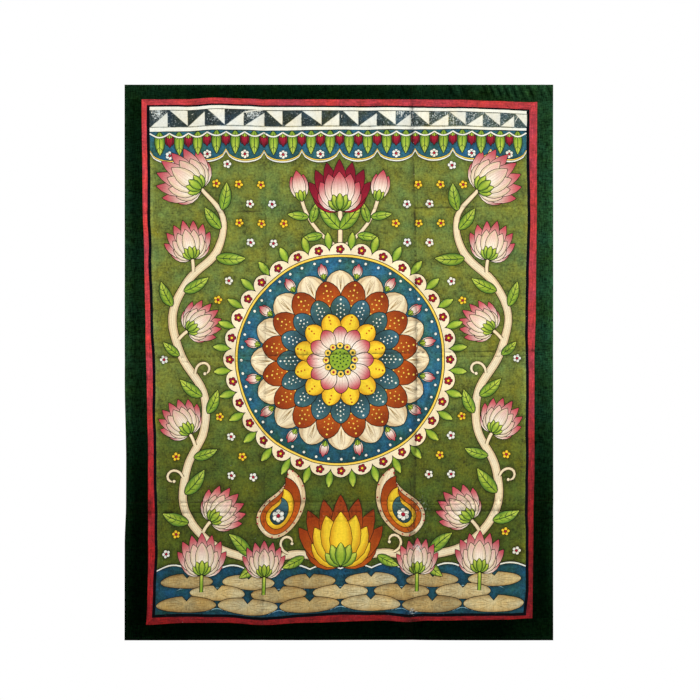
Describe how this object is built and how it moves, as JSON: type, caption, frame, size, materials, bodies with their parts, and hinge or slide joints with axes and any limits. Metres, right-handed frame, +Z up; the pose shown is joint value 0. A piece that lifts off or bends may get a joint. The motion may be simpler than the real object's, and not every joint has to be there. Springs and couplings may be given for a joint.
{
  "type": "pichwai painting",
  "caption": "Painted cotton wall hanging: a lotus design inside red and triangle borders, framed by sewn strips of dark green cotton, with the creases of its storage folds.",
  "frame": {"origin": "middle of the top edge, where the hanging is held", "axes": "+Z up along the height of the cloth, +X to the viewer's right, and the painted face looks towards -Y"},
  "size_m": [1.08, 0.0189, 1.4],
  "materials": {
    "painted_cotton": "matt painted cotton",
    "green_cotton": "soft woven cotton"
  },
  "bodies": {
    "root": {"painted_panel": "painted_cotton", "border_top": "green_cotton", "border_bottom": "green_cotton", "border_left": "green_cotton", "border_right": "green_cotton"}
  },
  "joints": []
}
